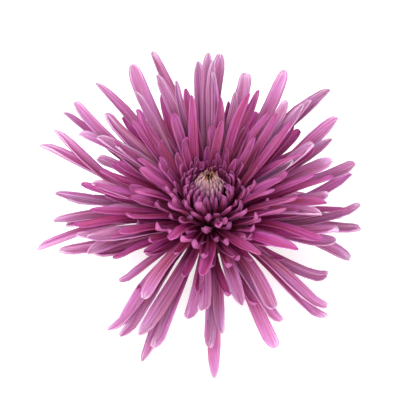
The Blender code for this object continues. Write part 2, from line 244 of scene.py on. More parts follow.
# Florets that show singly in the photograph: mm right of the hub, mm up the picture, rise in
# degrees, and arch in hundredths of the length
SEEN_FLORETS = (
    (-4, 59, 38, 4), (1, 62, 42, 4), (5, 62, 30, 4), (3, 59, 45, 3),
    (12, 55, 36, 4), (14, 55, 28, 4), (27, 56, 34, 4), (19, 48, 48, 3),
    (16, 47, 52, 2), (30, 44, 42, 3), (26, 39, 49, 3), (34, 43, 38, 4),
    (38, 44, 28, 5), (45, 48, 22, 5), (48, 38, 18, -4), (46, 31, 16, -5),
    (39, 27, 34, 3), (45, 23, 20, -3), (55, 21, 8, -6), (53, 18, 2, -6),
    (57, 5, -2, -7), (56, -4, -14, 2), (47, -3, 8, -6), (47, -7, -6, -7),
    (44, 8, 20, 4), (40, 3, 24, 5), (31, -10, 12, 6), (28, -15, -8, 6),
    (44, -22, -18, -5), (41, -32, -24, 8), (40, -37, -26, 6), (24, -45, -26, 8),
    (24, -37, -20, 8), (23, -32, -14, 9), (13, -30, 0, 9), (16, -32, -12, 8),
    (1, -56, -26, 8), (-1, -45, -22, 9), (4, -40, -18, 9), (-7, -35, -12, 10),
    (-2, -33, 0, 10), (-18, -46, -24, 6), (-24, -50, -26, 6), (-24, -41, -20, 9),
    (-30, -42, -26, 10), (-33, -41, -26, 10), (-23, -28, -4, 10), (-27, -25, -14, 8),
    (-31, -23, -20, 10), (-43, -14, -18, -4), (-55, -11, -8, -4), (-63, -10, -14, 4),
    (-44, -11, 2, 4), (-44, -7, 8, 6), (-48, -6, 4, 6), (-57, -1, -4, 4),
    (-38, 4, 20, 3), (-52, 7, 4, 4), (-56, 11, 6, 4), (-42, 14, 26, 4),
    (-62, 28, 16, -9), (-57, 33, 20, -8), (-54, 39, 26, -4), (-50, 43, 30, 2),
    (-42, 50, 32, 4), (-39, 39, 38, 4), (-28, 58, 34, 3), (-21, 63, 30, 4),
    (-27, 47, 44, 3), (-27, 41, 49, 2), (-19, 54, 42, 3), (-12, 52, 46, 3),
    (-8, 49, 49, 3), (-7, 46, 54, 3), (-28, 37, 48, 3), (-47, 32, 30, 4),
    (-41, 30, 36, 4), (-34, 27, 42, 4), (-26, 23, 49, 5), (17, 31, 56, 3),
    (22, 25, 48, 4), (29, 34, 44, 4), (31, 22, 36, 5), (30, 20, 32, 5),
    (14, 14, 55, 4), (17, 11, 49, 4), (24, 7, 36, 6), (19, 2, 40, 6),
    (13, 4, 47, 6), (17, -3, 34, 8), (14, -6, 34, 8), (12, -14, 20, 10),
    (7, -17, 18, 10), (7, -8, 34, 8), (7, -28, 2, 10), (-2, -13, 30, 10),
    (-6, -9, 34, 8), (-5, -26, 6, 10), (-23, -7, 22, 8), (-24, -12, 8, 9),
    (-21, -2, 32, 7), (-28, -1, 20, 7), (-21, 7, 42, 4), (-12, -6, 38, 8),
    (-13, 7, 52, 5), (-14, 12, 56, 4), (3, 46, 49, 3), (10, 48, 46, 3),
    (0, 55, 46, 3), (4, 38, 56, 3),
)
# A floret is young at this reach in mm, and full grown that much further out
YOUNG_REACH = 20
GROWING_REACH = 30
STRAP_SIZES = (0.66 * STRAP_WIDTH, STRAP_WIDTH)
STRAP_SIZE_SPREAD = (0.86, 1.12)
SLIGHT_HOOK = (-0.1, 0.5)
STRONG_HOOK = (0.4, 1.0)
STRONG_HOOK_BELOW = -20
OPEN_GUTTER = (0.9, 1.6)
# Short florets stand hooded in front of the bud: their growth and their place in the picture
SHORT_GROWTH = 0.65
SHORT_BELOW = 15
SHORT_WITHIN = 30
SHORT_ARCH = -0.05
SHORT_SIZE = 0.76
SHORT_GUTTER = (1.2, 1.8)
# Steep florets are narrower and pinched
STEEP_RISE = 42
STEEP_SIZE = 0.72
# Young and very steep ones have the look of the middle florets and are gathered with them
MIDDLE_GROWTH = 0.4
MIDDLE_RISE = 47


def seen_floret(right, up, rise):
    """Azimuth and reach of the floret whose tip shows at that place in the picture."""
    right, up, rise = right * MM, up * MM, math.radians(rise)
    across, along = math.sin(VIEW_RISE), math.cos(VIEW_RISE)
    flat, high = math.cos(rise), math.sin(rise)
    a = flat**2 - (high * along / across) ** 2
    b = 2 * up * high * along / across**2
    c = -(right**2 + (up / across) ** 2)
    reach = (-b + math.sqrt(b * b - 4 * a * c)) / (2 * a)
    return math.atan2((up - reach * high * along) / across, right), reach


def between(ends, share):
    """The value at that share of the way from one end to the other."""
    return ends[0] + (ends[1] - ends[0]) * share


long_petals, middle_petals = [], []
for number, (right, up, rise, arch) in enumerate(SEEN_FLORETS):
    azimuth, reach = seen_floret(right, up, rise)
    chance = random.Random(1000 + number)
    growth = min(1.0, max(0.0, (reach / MM - YOUNG_REACH) / GROWING_REACH))
    short = growth < SHORT_GROWTH and up < SHORT_BELOW and abs(right) < SHORT_WITHIN
    steep = rise > STEEP_RISE
    bow = SHORT_ARCH if short else arch / 100
    spine = spine_of(azimuth, reach, math.radians(rise), bow, number)
    size = between(STRAP_SIZES, growth) * chance.uniform(*STRAP_SIZE_SPREAD)
    size *= STEEP_SIZE if steep else SHORT_SIZE if short else 1.0
    pattern = pinched_pattern if short or steep else chance.choice(strap_patterns)
    hook = chance.uniform(*(STRONG_HOOK if up < STRONG_HOOK_BELOW or short else SLIGHT_HOOK))
    gutter = chance.uniform(*(SHORT_GUTTER if short else OPEN_GUTTER))
    petal = grown(pattern, STRAP_LENGTH, STRAP_WIDTH, spine, size, chance, hook, gutter)
    middle = short or growth < MIDDLE_GROWTH or rise > MIDDLE_RISE
    (middle_petals if middle else long_petals).append(petal)

# The lowest ring of florets hangs down at the back, where the photograph doesn't show it
LOW_RING_COUNT = 15
LOW_RING_AZIMUTH = (math.radians(2), math.radians(178))
LOW_RING_REACH = (52 * MM, 59 * MM)
LOW_RING_RISE = (math.radians(-26), math.radians(-7))
LOW_RING_ARCH = 0.07
LOW_RING_HOOK = 0.2
for place in range(LOW_RING_COUNT):
    number = len(SEEN_FLORETS) + place
    chance = random.Random(1000 + number)
    azimuth = between(LOW_RING_AZIMUTH, place / (LOW_RING_COUNT - 1))
    reach = between(LOW_RING_REACH, random.Random(place).random())
    rise = between(LOW_RING_RISE, (place % 3) / 2)
    spine = spine_of(azimuth, reach, rise, LOW_RING_ARCH, number)
    pattern = chance.choice(strap_patterns)
    long_petals.append(
        grown(pattern, STRAP_LENGTH, STRAP_WIDTH, spine, STRAP_WIDTH, chance, LOW_RING_HOOK)
    )


def node_group(name, inputs, outputs):
    """An empty shader group with its named sockets."""
    group = bpy.data.node_groups.new(name, "ShaderNodeTree")
    for label, kind in inputs:
        group.interface.new_socket(name=label, in_out="INPUT", socket_type=kind)
    for label, kind in outputs:
        group.interface.new_socket(name=label, in_out="OUTPUT", socket_type=kind)
    return group, group.nodes.new("NodeGroupInput"), group.nodes.new("NodeGroupOutput")


def math_node(nodes, operation, value=None):
    """A Math node, with its second value set where one is given."""
    node = nodes.new("ShaderNodeMath")
    node.operation = operation
    if value is not None:
        node.inputs[1].default_value = value
    return node


def spread_node(nodes, into, out_of=(0.0, 1.0)):
    """A Map Range node that spreads one range of values over another."""
    node = nodes.new("ShaderNodeMapRange")
    node.inputs["From Min"].default_value, node.inputs["From Max"].default_value = out_of
    node.inputs["To Min"].default_value, node.inputs["To Max"].default_value = into
    return node


def ramp_node(nodes, stops):
    """A colour ramp with a stop at each position given."""
    node = nodes.new("ShaderNodeValToRGB")
    elements = node.color_ramp.elements
    for end, (position, colour) in ((0, stops[0]), (1, stops[-1])):
        elements[end].position = position
        elements[end].color = (*colour, 1)
    for position, colour in stops[1:-1]:
        elements.new(position).color = (*colour, 1)
    return node


def bump_node(nodes, strength, depth):
    """A Bump node of that strength, for relief that deep."""
    node = nodes.new("ShaderNodeBump")
    node.inputs["Strength"].default_value = strength
    node.inputs["Distance"].default_value = depth
    return node


# Petal veins: fine lines that run the length of a petal, broken up differently on each one
TONE_SHIFT = 37.0
VEIN_BREAKS = 1.6
VEIN_DETAIL = 3.0
VEIN_ROUGHNESS = 0.65
BLOTCH_SCALE = 2.2
BLOTCH_DETAIL = 2.0
veins, veins_in, veins_out = node_group(
    "petal_veins",
    (("UV", "NodeSocketVector"), ("Tone", "NodeSocketFloat"), ("Count", "NodeSocketFloat")),
    (("Lines", "NodeSocketFloat"), ("Blotches", "NodeSocketFloat")),
)
apart = veins.nodes.new("ShaderNodeSeparateXYZ")
shifted = math_node(veins.nodes, "MULTIPLY", TONE_SHIFT)
wide = math_node(veins.nodes, "MULTIPLY")
long_way = math_node(veins.nodes, "MULTIPLY", VEIN_BREAKS)
lines_at = veins.nodes.new("ShaderNodeCombineXYZ")
lines = veins.nodes.new("ShaderNodeTexNoise")
lines.inputs["Scale"].default_value = 1.0
lines.inputs["Detail"].default_value = VEIN_DETAIL
lines.inputs["Roughness"].default_value = VEIN_ROUGHNESS
blotch_at = veins.nodes.new("ShaderNodeCombineXYZ")
blotch = veins.nodes.new("ShaderNodeTexNoise")
blotch.inputs["Scale"].default_value = BLOTCH_SCALE
blotch.inputs["Detail"].default_value = BLOTCH_DETAIL
wire = veins.links.new
wire(veins_in.outputs["UV"], apart.inputs[0])
wire(veins_in.outputs["Tone"], shifted.inputs[0])
wire(apart.outputs["X"], wide.inputs[0])
wire(veins_in.outputs["Count"], wide.inputs[1])
wire(apart.outputs["Y"], long_way.inputs[0])
wire(wide.outputs[0], lines_at.inputs["X"])
wire(long_way.outputs[0], lines_at.inputs["Y"])
wire(shifted.outputs[0], lines_at.inputs["Z"])
wire(lines_at.outputs[0], lines.inputs["Vector"])
wire(apart.outputs["X"], blotch_at.inputs["X"])
wire(long_way.outputs[0], blotch_at.inputs["Y"])
wire(shifted.outputs[0], blotch_at.inputs["Z"])
wire(blotch_at.outputs[0], blotch.inputs["Vector"])
wire(lines.outputs["Fac"], veins_out.inputs["Lines"])
wire(blotch.outputs["Fac"], veins_out.inputs["Blotches"])

BLOTCH_SHARE = 0.22
# Painted shade down a petal's middle groove, with painted light towards the rolled edges: how
# far from the middle line the lightening starts, and where it ends
GROOVE_SHADE_SPAN = (0.15, 0.50)
# From the darkest petal to the lightest, and from the reddest blotches to the bluest
PETAL_LIGHTNESS = (0.80, 1.14)
PETAL_HUE = (0.560, 0.430)
VEIN_BUMP = 0.8
VEIN_RELIEF = 0.4 * MM
PETAL_ROUGHNESS = 0.55
PETAL_GLOSS = 0.25
# Light that passes through a petal comes out purple
PETAL_GLOW = 0.35
PETAL_GLOW_RADIUS = (1.0, 0.35, 0.75)
PETAL_GLOW_SCALE = 2.0 * MM


def petal_finish(name, colours, streak_share, edge_share, vein_count, saturation=1.03):
    """A petal's surface. Its place in the colours runs from root to tip, and moves up or down
    them along the veins, and up towards the rolled edges by up to edge_share: painted shade
    down the middle groove and painted light on the edges."""
    finish = bpy.data.materials.new(name)
    finish.use_nodes = True
    nodes, wire = finish.node_tree.nodes, finish.node_tree.links.new
    shader = nodes["Principled BSDF"]
    uv = nodes.new("ShaderNodeUVMap")
    tone = nodes.new("ShaderNodeAttribute")
    tone.attribute_name = "tone"
    marks = nodes.new("ShaderNodeGroup")
    marks.node_tree = veins
    marks.inputs["Count"].default_value = vein_count
    apart = nodes.new("ShaderNodeSeparateXYZ")
    start = math_node(nodes, "SUBTRACT", 0.5 * BLOTCH_SHARE + 0.5 * streak_share)
    blotched = math_node(nodes, "MULTIPLY_ADD", BLOTCH_SHARE)
    streaked = math_node(nodes, "MULTIPLY_ADD", streak_share)
    from_middle = math_node(nodes, "SUBTRACT", 0.5)
    distance = math_node(nodes, "ABSOLUTE")
    # Painted shade: colours stay darker down the middle of the gutter and move lighter towards
    # the rolled edges
    painted_groove_shade = spread_node(nodes, (0.0, edge_share), GROOVE_SHADE_SPAN)
    edged = math_node(nodes, "ADD")
    ramp = ramp_node(nodes, colours)
    lightness = spread_node(nodes, PETAL_LIGHTNESS)
    hue = spread_node(nodes, PETAL_HUE)
    toned = nodes.new("ShaderNodeHueSaturation")
    toned.inputs["Saturation"].default_value = saturation
    bump = bump_node(nodes, VEIN_BUMP, VEIN_RELIEF)
    wire(uv.outputs["UV"], marks.inputs["UV"])
    wire(uv.outputs["UV"], apart.inputs[0])
    wire(tone.outputs["Fac"], marks.inputs["Tone"])
    wire(apart.outputs["Y"], start.inputs[0])
    wire(marks.outputs["Blotches"], blotched.inputs[0])
    wire(start.outputs[0], blotched.inputs[2])
    wire(marks.outputs["Lines"], streaked.inputs[0])
    wire(blotched.outputs[0], streaked.inputs[2])
    wire(apart.outputs["X"], from_middle.inputs[0])
    wire(from_middle.outputs[0], distance.inputs[0])
    wire(distance.outputs[0], painted_groove_shade.inputs["Value"])
    wire(streaked.outputs[0], edged.inputs[0])
    wire(painted_groove_shade.outputs["Result"], edged.inputs[1])
    wire(edged.outputs[0], ramp.inputs["Fac"])
    wire(ramp.outputs["Color"], toned.inputs["Color"])
    wire(tone.outputs["Fac"], lightness.inputs["Value"])
    wire(lightness.outputs["Result"], toned.inputs["Value"])
    wire(marks.outputs["Blotches"], hue.inputs["Value"])
    wire(hue.outputs["Result"], toned.inputs["Hue"])
    wire(toned.outputs["Color"], shader.inputs["Base Color"])
    wire(marks.outputs["Lines"], bump.inputs["Height"])
    wire(bump.outputs["Normal"], shader.inputs["Normal"])
    shader.inputs["Roughness"].default_value = PETAL_ROUGHNESS
    shader.inputs["Subsurface Weight"].default_value = PETAL_GLOW
    shader.inputs["Subsurface Radius"].default_value = PETAL_GLOW_RADIUS
    shader.inputs["Subsurface Scale"].default_value = PETAL_GLOW_SCALE
    shader.inputs["Specular IOR Level"].default_value = PETAL_GLOSS
    return finish


# Colours from root to tip: place along the petal, and colour. The dark stops at the root are
# partly the petals' own deeper purple and partly painted shade where the florets crowd together
# at the centre
UPPER_COLOURS = (
    (0.00, (0.145, 0.014, 0.044)), (0.20, (0.225, 0.034, 0.098)),
    (0.42, (0.310, 0.090, 0.200)), (0.65, (0.390, 0.152, 0.300)),
    (0.88, (0.475, 0.250, 0.405)), (1.00, (0.610, 0.440, 0.550)),
)
UNDER_COLOURS = (
    (0.00, (0.145, 0.014, 0.046)), (0.25, (0.235, 0.042, 0.120)),
    (0.50, (0.350, 0.105, 0.260)), (0.75, (0.450, 0.190, 0.390)),
    (1.00, (0.560, 0.340, 0.530)),
)
upper_face = petal_finish(
    "petal_upper_face", UPPER_COLOURS, streak_share=1.70, edge_share=0.08, vein_count=15.0
)
under_face = petal_finish(
    "petal_under_face", UNDER_COLOURS, streak_share=1.30, edge_share=0.03, vein_count=12.0
)

long_florets = gathered("long_ray_florets", long_petals, upper_face, under_face)
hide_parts("ray_florets")
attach(long_florets, "root")


# Inner and middle ray florets. The inner ones are short young petals in a spiral round the bud,
# still rolled into hoods, with longer straps further out. The middle ones are steep straps and
# the short hooded ones in front of the bud, which show their paler backs.
QUILL_LENGTH = 25 * MM
QUILL_WIDTH = 3.3 * MM
QUILL_ROWS = (
    (0.00, 0.72, 0.90), (0.22, 0.80, 0.85), (0.42, 0.90, 0.80), (0.60, 1.00, 0.76),
    (0.74, 0.98, 0.80), (0.85, 0.86, 0.92), (0.92, 0.68, 1.05), (0.965, 0.48, 1.15),
    (0.99, 0.30, 1.20), (1.00, 0.14, 1.20),
)
quill_pattern = petal_pattern("quill_pattern", QUILL_LENGTH, QUILL_WIDTH, QUILL_ROWS)
SPIRAL_STEP = math.radians(137.508)
GOLDEN_SHARE = 0.618034
REACH_SPREAD = (0.90, 1.10)

INNER_COUNT = 46
INNER_REACH = (26 * MM, 31 * MM)
INNER_RISE = (math.radians(71), math.radians(47))
INNER_RISE_SPREAD = 4
INNER_ARCH = (-0.03, 0.04)
INNER_SIZE = (0.62 * QUILL_WIDTH, 1.05 * QUILL_WIDTH)
INNER_SIZE_SPREAD = (0.85, 1.15)
INNER_HOOK = (0.2, 0.9)
inner_petals = []
for place in range(INNER_COUNT):
    number = len(SEEN_FLORETS) + LOW_RING_COUNT + place
    share = place / (INNER_COUNT - 1)
    chance = random.Random(100 + place)
    reach = between(INNER_REACH, share) * chance.uniform(*REACH_SPREAD)
    wander = chance.uniform(-INNER_RISE_SPREAD, INNER_RISE_SPREAD)
    rise = between(INNER_RISE, share) + math.radians(wander)
    spine = spine_of(place * SPIRAL_STEP, reach, rise, between(INNER_ARCH, share), number)
    size = between(INNER_SIZE, share) * chance.uniform(*INNER_SIZE_SPREAD)
    hook = chance.uniform(*INNER_HOOK)
    inner_petals.append(
        grown(quill_pattern, QUILL_LENGTH, QUILL_WIDTH, spine, size, chance, hook)
    )

# The smallest ones press against the bud, which hides all but their tips in the solid
TIGHT_COUNT = 44
TIGHT_REACH = (24.5 * MM, 27.5 * MM)
TIGHT_REACH_SPREAD = (0.95, 1.04)
TIGHT_RISE = (math.radians(76), math.radians(67))
TIGHT_RISE_SPREAD = 1.5
TIGHT_ARCH = -0.07
TIGHT_SIZE = (0.50, 0.68)
TIGHT_HOOK = (0.4, 1.0)
for place in range(TIGHT_COUNT):
    chance = random.Random(400 + place)
    share = place / (TIGHT_COUNT - 1)
    reach = between(TIGHT_REACH, share) * chance.uniform(*TIGHT_REACH_SPREAD)
    wander = chance.uniform(-TIGHT_RISE_SPREAD, TIGHT_RISE_SPREAD)
    rise = between(TIGHT_RISE, share) + math.radians(wander)
    spine = spine_of((place + 0.5) * SPIRAL_STEP, reach, rise, TIGHT_ARCH, 800 + place)
    size = chance.uniform(*TIGHT_SIZE) * QUILL_WIDTH
    hook = chance.uniform(*TIGHT_HOOK)
    inner_petals.append(
        grown(quill_pattern, QUILL_LENGTH, QUILL_WIDTH, spine, size, chance, hook)
    )

# The spiral goes on outwards in narrow straps
OUTER_COUNT = 28
OUTER_REACH = (33 * MM, 47 * MM)
OUTER_RISE = (math.radians(60), math.radians(20))
OUTER_RISE_SPREAD = 6
OUTER_ARCH = (0.02, 0.07)
OUTER_SIZE = (1.0 * QUILL_WIDTH, 1.3 * QUILL_WIDTH)
OUTER_HOOK = (0.1, 0.6)
for place in range(OUTER_COUNT):
    number = len(SEEN_FLORETS) + LOW_RING_COUNT + INNER_COUNT + place
    share = place / (OUTER_COUNT - 1)
    chance = random.Random(200 + place)
    reach = between(OUTER_REACH, share) * chance.uniform(*REACH_SPREAD)
    wander = chance.uniform(-OUTER_RISE_SPREAD, OUTER_RISE_SPREAD)
    rise = between(OUTER_RISE, share) + math.radians(wander)
    azimuth = (INNER_COUNT + place) * SPIRAL_STEP
    spine = spine_of(azimuth, reach, rise, between(OUTER_ARCH, share), number)
    size = between(OUTER_SIZE, share)
    pattern = chance.choice(strap_patterns)
    hook = chance.uniform(*OUTER_HOOK)
    inner_petals.append(grown(pattern, STRAP_LENGTH, STRAP_WIDTH, spine, size, chance, hook))

# More long petals fill in at the sides and the back, where the photograph is dense
FILLING_COUNT = 56
FILLING_AZIMUTH = (math.radians(-35), math.radians(215))
FILLING_REACH = (38, 52)
FILLING_RISE = (52, 4)
FILLING_ARCH = 0.05
FILLING_SIZE = (0.55, 0.80)
FILLING_HOOK = (0, 0.6)
for place in range(FILLING_COUNT):
    chance = random.Random(300 + place)
    azimuth = between(FILLING_AZIMUTH, (place * GOLDEN_SHARE) % 1.0)
    reach = chance.uniform(*FILLING_REACH) * MM
    rise = math.radians(between(FILLING_RISE, place / (FILLING_COUNT - 1)))
    spine = spine_of(azimuth, reach, rise, FILLING_ARCH, 700 + place)
    size = chance.uniform(*FILLING_SIZE) * STRAP_WIDTH
    pattern = chance.choice(strap_patterns)
    hook = chance.uniform(*FILLING_HOOK)
    inner_petals.append(grown(pattern, STRAP_LENGTH, STRAP_WIDTH, spine, size, chance, hook))

# Small hooded petals close the gap at the foot of the bud, on the side that faces the camera
FRONT_COUNT = 22
FRONT_AZIMUTH = (math.radians(-158), math.radians(-22))
FRONT_REACH = (22, 32)
FRONT_REACH_SPREAD = (0.92, 1.08)
FRONT_RISE = (54, 4)
FRONT_RISE_SPREAD = 3
FRONT_ARCH = -0.03
FRONT_SIZE = (0.52, 0.68)
FRONT_HOOK = (0.3, 0.8)
FRONT_GUTTER = 1.3
for place in range(FRONT_COUNT):
    chance = random.Random(600 + place)
    azimuth = between(FRONT_AZIMUTH, (place * GOLDEN_SHARE) % 1.0)
    wander = chance.uniform(-FRONT_RISE_SPREAD, FRONT_RISE_SPREAD)
    rise = math.radians(between(FRONT_RISE, place / (FRONT_COUNT - 1)) + wander)
    reach = between(FRONT_REACH, place / FRONT_COUNT) * chance.uniform(*FRONT_REACH_SPREAD)
    spine = spine_of(azimuth, reach * MM, rise, FRONT_ARCH, 600 + place)
    size = chance.uniform(*FRONT_SIZE) * STRAP_WIDTH
    hook = chance.uniform(*FRONT_HOOK)
    middle_petals.append(
        grown(
            pinched_pattern, STRAP_LENGTH, STRAP_WIDTH, spine, size, chance, hook, FRONT_GUTTER
        )
    )

# Darker towards the root: partly the inner petals' own deeper purple, partly painted shade where
# the florets crowd together at the centre
INNER_UPPER_COLOURS = (
    (0.10, (0.145, 0.012, 0.044)), (0.40, (0.230, 0.028, 0.096)),
    (0.70, (0.350, 0.084, 0.220)), (0.88, (0.400, 0.110, 0.270)),
    (1.00, (0.330, 0.060, 0.190)),
)
INNER_UNDER_COLOURS = (
    (0.10, (0.145, 0.012, 0.044)), (0.40, (0.230, 0.030, 0.098)),
    (0.70, (0.340, 0.080, 0.220)), (0.90, (0.460, 0.155, 0.340)),
    (1.00, (0.530, 0.230, 0.420)),
)
inner_upper = petal_finish(
    "inner_petal_face", INNER_UPPER_COLOURS, streak_share=1.30, edge_share=0.05, vein_count=10.0
)
inner_under = petal_finish(
    "inner_petal_back", INNER_UNDER_COLOURS, streak_share=1.10, edge_share=0.04, vein_count=9.0
)
inner_florets = gathered("inner_ray_florets", inner_petals, inner_upper, inner_under)
middle_florets = gathered("middle_ray_florets", middle_petals, inner_upper, inner_under)
for piece in (inner_florets, middle_florets):
    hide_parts("ray_florets")
    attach(piece, "root")


# Receptacle: the domed green end of the stem that all florets stand on. It is hidden between
# their roots, and is pitted where they are fixed. It is coloured near-black purple rather than
# green, as painted shade between the roots.
RECEPTACLE_CUT_BELOW_HUB = 2.7 * MM
bpy.ops.object.select_all(action="DESELECT")
bpy.ops.mesh.primitive_uv_sphere_add(
    segments=32, ring_count=16, radius=RECEPTACLE_RADIUS, location=hub
)
receptacle = bpy.context.object
receptacle.name = "receptacle"
bpy.ops.object.mode_set(mode="EDIT")
bpy.ops.mesh.select_all(action="SELECT")
bpy.ops.mesh.bisect(
    plane_co=hub - Vector((0, 0, RECEPTACLE_CUT_BELOW_HUB)),
    plane_no=(0, 0, 1),
    use_fill=True,
    clear_inner=True,
)
bpy.ops.object.mode_set(mode="OBJECT")
bpy.ops.object.transform_apply(location=True, rotation=True, scale=True)
bpy.ops.object.shade_smooth_by_angle(angle=math.radians(40))


def speckled_finish(name, texture, mask, scale, stops, roughness):
    """A surface whose colour changes from cell to cell or grain to grain."""
    finish = bpy.data.materials.new(name)
    finish.use_nodes = True
    nodes, wire = finish.node_tree.nodes, finish.node_tree.links.new
    place = nodes.new("ShaderNodeTexCoord")
    grain = nodes.new(texture)
    grain.inputs["Scale"].default_value = scale
    ramp = ramp_node(nodes, stops)
    wire(place.outputs["Object"], grain.inputs["Vector"])
    wire(grain.outputs[mask], ramp.inputs["Fac"])
    wire(ramp.outputs["Color"], nodes["Principled BSDF"].inputs["Base Color"])
    nodes["Principled BSDF"].inputs["Roughness"].default_value = roughness
    return finish


PITS_A_METRE = 900.0
# Painted shade: near-black purple for the dark between the floret roots, with the pits darker
# still
SHADED_PIT_COLOURS = ((0.0, (0.030, 0.010, 0.016)), (1.0, (0.110, 0.050, 0.055)))
receptacle.data.materials.append(
    speckled_finish(
        "receptacle_painted_shade", "ShaderNodeTexVoronoi", "Distance", PITS_A_METRE, SHADED_PIT_COLOURS, 0.7
    )
)
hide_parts("ray_florets")
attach(receptacle, "root")


# Centre bud. The youngest florets, still pale and greenish, arch over one another and close at
# the top, where the small brown orange tips of the disc florets look out.
YOUNG_LENGTH = 18 * MM
YOUNG_WIDTH = 1.7 * MM
YOUNG_ROWS = (
    (0.00, 0.60, 0.50), (0.20, 0.78, 0.55), (0.40, 0.94, 0.60), (0.58, 1.00, 0.62),
    (0.74, 0.92, 0.70), (0.86, 0.72, 0.80), (0.95, 0.44, 0.90), (1.00, 0.16, 0.90),
)
young_pattern = petal_pattern("young_pattern", YOUNG_LENGTH, YOUNG_WIDTH, YOUNG_ROWS)
# Rings of young florets: how many, radius and height of the belly, radius and height of the
# tip, in mm from the hub
YOUNG_RINGS = (
    (19, 6.2, 19.0, 3.6, 24.4), (17, 5.7, 20.5, 2.6, 26.0), (13, 4.9, 22.0, 1.7, 26.9),
)
YOUNG_ROOT_RADIUS = 2.6
YOUNG_ROOT_HEIGHT = 9.8 * MM
# The handle of a young floret's curve lies outside its belly and above it, in mm
HANDLE_OUT = 1.2
HANDLE_UP = 1.0
YOUNG_TURN = 0.3
YOUNG_AZIMUTH_SPREAD = 0.12
YOUNG_TIP_RADIUS_SPREAD = (0.7, 1.3)
YOUNG_TIP_HEIGHT_SPREAD = (0.98, 1.02)
YOUNG_ROLL = 0.2
YOUNG_HOOK = 0.1
young_petals = []
for ring, (count, belly, belly_height, close, close_height) in enumerate(YOUNG_RINGS):
    for place in range(count):
        chance = random.Random(500 + 20 * ring + place)
        wander = chance.uniform(-YOUNG_AZIMUTH_SPREAD, YOUNG_AZIMUTH_SPREAD)
        azimuth = math.tau * (place + 0.5 * (ring % 2) + wander) / count + YOUNG_TURN * ring
        outward = Vector((math.cos(azimuth), math.sin(azimuth), 0))
        root = outward * YOUNG_ROOT_RADIUS * MM + Vector((0, 0, YOUNG_ROOT_HEIGHT))
        belly_up = Vector((0, 0, (belly_height + HANDLE_UP) * MM))
        handle = outward * (belly + HANDLE_OUT) * MM + belly_up
        tip = outward * close * chance.uniform(*YOUNG_TIP_RADIUS_SPREAD) * MM
        tip += Vector((0, 0, close_height * chance.uniform(*YOUNG_TIP_HEIGHT_SPREAD) * MM))
        side = Vector((-outward.y, outward.x, 0))
        spine = (root, handle, tip, side, chance.uniform(-YOUNG_ROLL, YOUNG_ROLL))
        young_petals.append(
            grown(
                young_pattern, YOUNG_LENGTH, YOUNG_WIDTH, spine, YOUNG_WIDTH, chance, YOUNG_HOOK
            )
        )
YOUNG_COLOURS = (
    (0.20, (0.110, 0.008, 0.045)), (0.50, (0.270, 0.055, 0.150)),
    (0.70, (0.400, 0.170, 0.240)), (0.86, (0.480, 0.290, 0.270)),
    (0.96, (0.420, 0.240, 0.190)), (1.00, (0.280, 0.100, 0.060)),
)
young_face = petal_finish(
    "young_petal", YOUNG_COLOURS,
    streak_share=0.90, edge_share=0.05, vein_count=7.0, saturation=0.95,
)
bud = gathered("young_florets", young_petals, young_face, young_face)
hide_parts("centre_bud")
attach(bud, "root")

bpy.ops.object.select_all(action="DESELECT")
bpy.ops.mesh.primitive_cone_add(vertices=6, radius1=0.26 * MM, radius2=0.12 * MM, depth=1)
tip_pattern = bpy.context.object
bpy.ops.object.mode_set(mode="EDIT")
bpy.ops.mesh.select_all(action="SELECT")
bpy.ops.transform.translate(value=(0, 0, 0.5))
bpy.ops.object.mode_set(mode="OBJECT")
bpy.ops.object.shade_smooth()
tip_pattern.hide_render = True
DISC_TIP_COUNT = 12
DISC_RADIUS = 2.8
DISC_HEIGHT = 26.0 * MM
# Height of a tip and how far it leans out, both in mm
DISC_TIP_HEIGHT = (0.9, 2.0)
DISC_TIP_LEAN = (-0.3, 0.5)
disc_tips = []
for place in range(DISC_TIP_COUNT):
    chance = random.Random(900 + place)
    azimuth = place * SPIRAL_STEP
    out = DISC_RADIUS * math.sqrt((place + 0.5) / DISC_TIP_COUNT) * MM
    foot = Vector((out * math.cos(azimuth), out * math.sin(azimuth), DISC_HEIGHT))
    height = chance.uniform(*DISC_TIP_HEIGHT) * MM
    outward = Vector((math.cos(azimuth), math.sin(azimuth), 0))
    lean = outward * chance.uniform(*DISC_TIP_LEAN) * MM
    mesh = tip_pattern.data.copy()
    for vertex in mesh.vertices:
        up = vertex.co.z
        upright = Vector((vertex.co.x, vertex.co.y, up * height))
        vertex.co = hub + foot + lean * up * up * 2 + upright
    speck = bpy.data.objects.new("disc_tip", mesh)
    bpy.context.scene.collection.objects.link(speck)
    disc_tips.append(speck)
GRAINS_A_METRE = 700.0
TIP_COLOURS = ((0.35, (0.220, 0.070, 0.025)), (0.65, (0.400, 0.160, 0.080)))
tip_brown = speckled_finish(
    "disc_floret_tip", "ShaderNodeTexNoise", "Fac", GRAINS_A_METRE, TIP_COLOURS, 0.6
)
disc = gathered("disc_floret_tips", disc_tips, tip_brown)
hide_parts("centre_bud")
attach(disc, "root")


# Involucre: the cup of overlapping green bracts that held the head when it was a bud. Each
# bract is a small leaf with a thin papery edge.
CUP_RADIUS = 8.7 * MM
CUP_TOP = -3.0 * MM
CUP_HEIGHT = 5.6 * MM
CUP_FOOT_SHARE = 0.38
CUP_RIM_ROUNDING = 1.6 * MM
FACING_DOWN = -0.9
bpy.ops.object.select_all(action="DESELECT")
bpy.ops.mesh.primitive_cylinder_add(
    vertices=40,
    radius=CUP_RADIUS,
    depth=CUP_HEIGHT,
    location=hub + Vector((0, 0, CUP_TOP - CUP_HEIGHT / 2)),
)
cup = bpy.context.object
cup.name = "bract_cup"
bpy.ops.object.mode_set(mode="EDIT")


def pick_underside(shape):
    """Selects, in edit mode, the faces that look down."""
    cage = bmesh.from_edit_mesh(shape.data)
    for face in cage.faces:
        face.select_set(face.normal.z < FACING_DOWN)
    bmesh.update_edit_mesh(shape.data)


